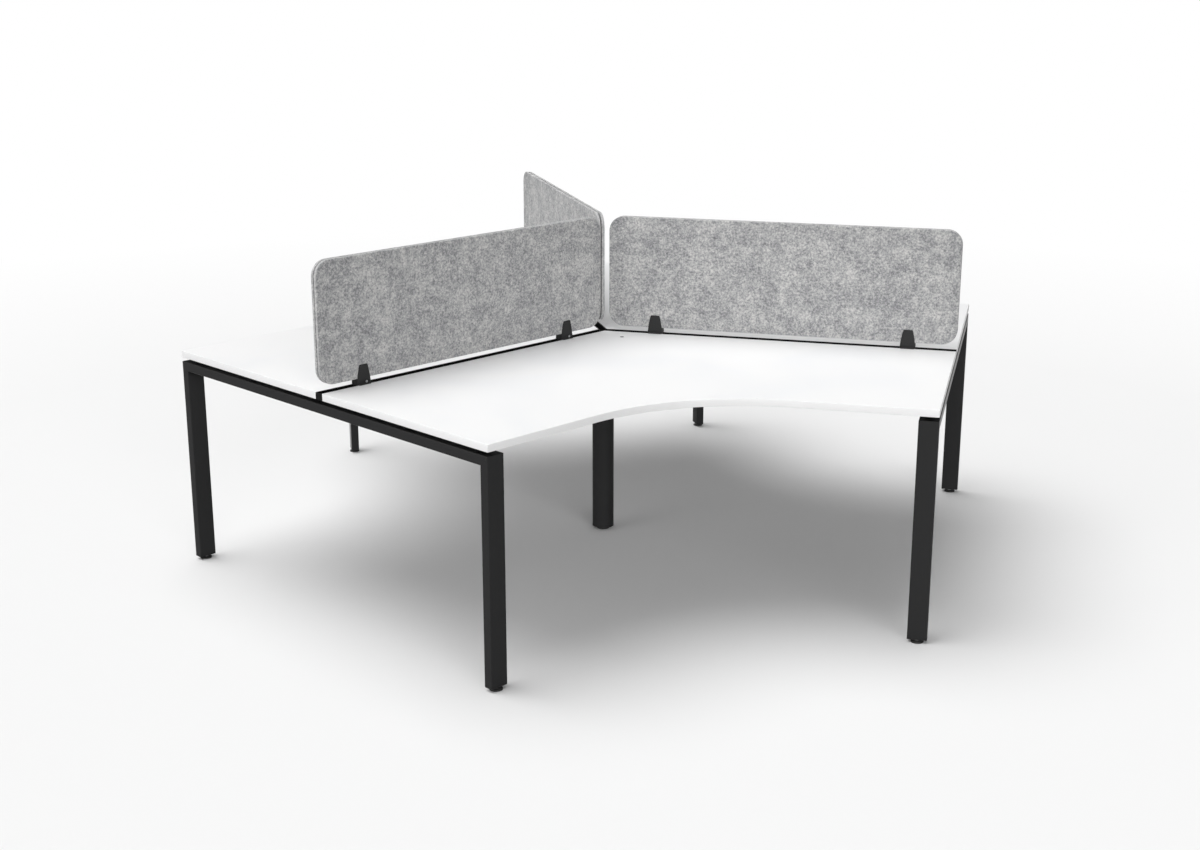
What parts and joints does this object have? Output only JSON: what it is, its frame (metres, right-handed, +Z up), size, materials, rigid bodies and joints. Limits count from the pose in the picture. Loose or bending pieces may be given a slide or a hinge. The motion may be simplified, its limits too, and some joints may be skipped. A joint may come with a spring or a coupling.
{
  "type": "cubicle workstation",
  "caption": "Desk pod with white boomerang tops set at 120 degrees on dark steel end frames and a round centre post, parted by grey felt desk screens in small screw clamps.",
  "frame": {"origin": "on the floor, at the middle of the centre foot's underside, under the centre post", "axes": "+Z up; -Y towards the front sitter; +X to the right of the front sitter's neighbour on the right, along the pod's longest extent; the arms run at 90, 210 and 330 degrees from +X"},
  "size_m": [2.8548, 2.4729, 1.13],
  "materials": {
    "white_laminate": "matt white laminate on chipboard",
    "white_edging": "white edge banding",
    "dark_coat": "dark grey powder coat",
    "black_coat": "matt black powder coat",
    "clamp_coat": "dark grey coated die casting",
    "plated_steel": "zinc plated",
    "black_plastic": "moulded black plastic",
    "grey_felt": "speckled grey pressed felt"
  },
  "bodies": {
    "frame": {"desktop_front": "white_laminate", "desktop_left": "white_laminate", "desktop_right": "white_laminate", "edge_bands": "white_edging", "end_rail_left": "dark_coat", "end_rail_right": "dark_coat", "end_rail_rear": "dark_coat", "post_left_front": "dark_coat", "post_left_rear": "dark_coat", "post_right_rear": "dark_coat", "post_right_front": "dark_coat", "post_rear_left": "dark_coat", "post_rear_right": "dark_coat", "centre_post": "dark_coat", "centre_head": "dark_coat", "beam_left": "dark_coat", "beam_right": "dark_coat", "beam_rear": "dark_coat", "crossbars": "dark_coat", "gap_channel_left": "black_coat", "gap_channel_right": "black_coat", "gap_channel_rear": "black_coat", "clamp_bodies": "clamp_coat", "hole_caps": "black_plastic", "top_spacers": "black_plastic", "foot_plugs": "black_plastic", "screen_left": "grey_felt", "screen_right": "grey_felt", "screen_rear": "grey_felt"},
    "pad_centre": {"foot_pad_centre": "black_plastic"},
    "stem_centre": {"foot_stem_centre": "plated_steel"},
    "pad_left_front": {"foot_pad_left_front": "black_plastic"},
    "stem_left_front": {"foot_stem_left_front": "plated_steel"},
    "pad_left_rear": {"foot_pad_left_rear": "black_plastic"},
    "stem_left_rear": {"foot_stem_left_rear": "plated_steel"},
    "pad_right_rear": {"foot_pad_right_rear": "black_plastic"},
    "stem_right_rear": {"foot_stem_right_rear": "plated_steel"},
    "pad_right_front": {"foot_pad_right_front": "black_plastic"},
    "stem_right_front": {"foot_stem_right_front": "plated_steel"},
    "pad_rear_left": {"foot_pad_rear_left": "black_plastic"},
    "stem_rear_left": {"foot_stem_rear_left": "plated_steel"},
    "pad_rear_right": {"foot_pad_rear_right": "black_plastic"},
    "stem_rear_right": {"foot_stem_rear_right": "plated_steel"},
    "jaw_left_inner": {"clamp_jaw_left_inner": "clamp_coat"},
    "clamp_screw_left_inner": {"clamp_screw_left_inner": "plated_steel"},
    "jaw_left_outer": {"clamp_jaw_left_outer": "clamp_coat"},
    "clamp_screw_left_outer": {"clamp_screw_left_outer": "plated_steel"},
    "jaw_right_inner": {"clamp_jaw_right_inner": "clamp_coat"},
    "clamp_screw_right_inner": {"clamp_screw_right_inner": "plated_steel"},
    "jaw_right_outer": {"clamp_jaw_right_outer": "clamp_coat"},
    "clamp_screw_right_outer": {"clamp_screw_right_outer": "plated_steel"},
    "jaw_rear_inner": {"clamp_jaw_rear_inner": "clamp_coat"},
    "clamp_screw_rear_inner": {"clamp_screw_rear_inner": "plated_steel"},
    "jaw_rear_outer": {"clamp_jaw_rear_outer": "clamp_coat"},
    "clamp_screw_rear_outer": {"clamp_screw_rear_outer": "plated_steel"}
  },
  "joints": [
    {"name": "foot_height_centre", "type": "slide", "parent": "frame", "child": "pad_centre", "axis": [0, 0, -1], "range_m": [0, 0.015]},
    {"name": "foot_turn_centre", "type": "hinge", "parent": "pad_centre", "child": "stem_centre", "pos_m": [0, 0, 0], "axis": [0, 0, -1], "range_deg": [0, 3600]},
    {"name": "foot_height_left_front", "type": "slide", "parent": "frame", "child": "pad_left_front", "axis": [0, 0, -1], "range_m": [0, 0.015]},
    {"name": "foot_turn_left_front", "type": "hinge", "parent": "pad_left_front", "child": "stem_left_front", "pos_m": [-0.64675, -1.23596, 0], "axis": [0, 0, -1], "range_deg": [0, 3600]},
    {"name": "foot_height_left_rear", "type": "slide", "parent": "frame", "child": "pad_left_rear", "axis": [0, 0, -1], "range_m": [0, 0.015]},
    {"name": "foot_turn_left_rear", "type": "hinge", "parent": "pad_left_rear", "child": "stem_left_rear", "pos_m": [-1.39375, 0.05788, 0], "axis": [0, 0, -1], "range_deg": [0, 3600]},
    {"name": "foot_height_right_rear", "type": "slide", "parent": "frame", "child": "pad_right_rear", "axis": [0, 0, -1], "range_m": [0, 0.015]},
    {"name": "foot_turn_right_rear", "type": "hinge", "parent": "pad_right_rear", "child": "stem_right_rear", "pos_m": [1.39375, 0.05788, 0], "axis": [0, 0, -1], "range_deg": [0, 3600]},
    {"name": "foot_height_right_front", "type": "slide", "parent": "frame", "child": "pad_right_front", "axis": [0, 0, -1], "range_m": [0, 0.015]},
    {"name": "foot_turn_right_front", "type": "hinge", "parent": "pad_right_front", "child": "stem_right_front", "pos_m": [0.64675, -1.23596, 0], "axis": [0, 0, -1], "range_deg": [0, 3600]},
    {"name": "foot_height_rear_left", "type": "slide", "parent": "frame", "child": "pad_rear_left", "axis": [0, 0, -1], "range_m": [0, 0.015]},
    {"name": "foot_turn_rear_left", "type": "hinge", "parent": "pad_rear_left", "child": "stem_rear_left", "pos_m": [-0.747, 1.17808, 0], "axis": [0, 0, -1], "range_deg": [0, 3600]},
    {"name": "foot_height_rear_right", "type": "slide", "parent": "frame", "child": "pad_rear_right", "axis": [0, 0, -1], "range_m": [0, 0.015]},
    {"name": "foot_turn_rear_right", "type": "hinge", "parent": "pad_rear_right", "child": "stem_rear_right", "pos_m": [0.747, 1.17808, 0], "axis": [0, 0, -1], "range_deg": [0, 3600]},
    {"name": "jaw_slide_left_inner", "type": "slide", "parent": "frame", "child": "jaw_left_inner", "axis": [0.5, -0.866, 0], "range_m": [0, 0.003]},
    {"name": "clamp_screw_turn_left_inner", "type": "hinge", "parent": "jaw_left_inner", "child": "clamp_screw_left_inner", "pos_m": [-0.14724, -0.10314, 0.738], "axis": [0.5, -0.866, 0], "range_deg": [0, 1542.86]},
    {"name": "jaw_slide_left_outer", "type": "slide", "parent": "frame", "child": "jaw_left_outer", "axis": [0.5, -0.866, 0], "range_m": [0, 0.003]},
    {"name": "clamp_screw_turn_left_outer", "type": "hinge", "parent": "jaw_left_outer", "child": "clamp_screw_left_outer", "pos_m": [-0.89202, -0.53314, 0.738], "axis": [0.5, -0.866, 0], "range_deg": [0, 1542.86]},
    {"name": "jaw_slide_right_inner", "type": "slide", "parent": "frame", "child": "jaw_right_inner", "axis": [0.5, 0.866, 0], "range_m": [0, 0.003]},
    {"name": "clamp_screw_turn_right_inner", "type": "hinge", "parent": "jaw_right_inner", "child": "clamp_screw_right_inner", "pos_m": [0.16294, -0.07594, 0.738], "axis": [0.5, 0.866, 0], "range_deg": [0, 1542.86]},
    {"name": "jaw_slide_right_outer", "type": "slide", "parent": "frame", "child": "jaw_right_outer", "axis": [0.5, 0.866, 0], "range_m": [0, 0.003]},
    {"name": "clamp_screw_turn_right_outer", "type": "hinge", "parent": "jaw_right_outer", "child": "clamp_screw_right_outer", "pos_m": [0.90772, -0.50594, 0.738], "axis": [0.5, 0.866, 0], "range_deg": [0, 1542.86]},
    {"name": "jaw_slide_rear_inner", "type": "slide", "parent": "frame", "child": "jaw_rear_inner", "axis": [-1, 0, 0], "range_m": [0, 0.003]},
    {"name": "clamp_screw_turn_rear_inner", "type": "hinge", "parent": "jaw_rear_inner", "child": "clamp_screw_rear_inner", "pos_m": [-0.0157, 0.17908, 0.738], "axis": [-1, 0, 0], "range_deg": [0, 1542.86]},
    {"name": "jaw_slide_rear_outer", "type": "slide", "parent": "frame", "child": "jaw_rear_outer", "axis": [-1, 0, 0], "range_m": [0, 0.003]},
    {"name": "clamp_screw_turn_rear_outer", "type": "hinge", "parent": "jaw_rear_outer", "child": "clamp_screw_rear_outer", "pos_m": [-0.0157, 1.03908, 0.738], "axis": [-1, 0, 0], "range_deg": [0, 1542.86]}
  ],
  "couplings": [
    {"joint": "foot_turn_centre", "follows": "foot_height_centre", "rad_per_m": 4188.8},
    {"joint": "foot_turn_left_front", "follows": "foot_height_left_front", "rad_per_m": 4188.8},
    {"joint": "foot_turn_left_rear", "follows": "foot_height_left_rear", "rad_per_m": 4188.8},
    {"joint": "foot_turn_right_rear", "follows": "foot_height_right_rear", "rad_per_m": 4188.8},
    {"joint": "foot_turn_right_front", "follows": "foot_height_right_front", "rad_per_m": 4188.8},
    {"joint": "foot_turn_rear_left", "follows": "foot_height_rear_left", "rad_per_m": 4188.8},
    {"joint": "foot_turn_rear_right", "follows": "foot_height_rear_right", "rad_per_m": 4188.8},
    {"joint": "clamp_screw_turn_left_inner", "follows": "jaw_slide_left_inner", "rad_per_m": 8976},
    {"joint": "clamp_screw_turn_left_outer", "follows": "jaw_slide_left_outer", "rad_per_m": 8976},
    {"joint": "clamp_screw_turn_right_inner", "follows": "jaw_slide_right_inner", "rad_per_m": 8976},
    {"joint": "clamp_screw_turn_right_outer", "follows": "jaw_slide_right_outer", "rad_per_m": 8976},
    {"joint": "clamp_screw_turn_rear_inner", "follows": "jaw_slide_rear_inner", "rad_per_m": 8976},
    {"joint": "clamp_screw_turn_rear_outer", "follows": "jaw_slide_rear_outer", "rad_per_m": 8976}
  ]
}
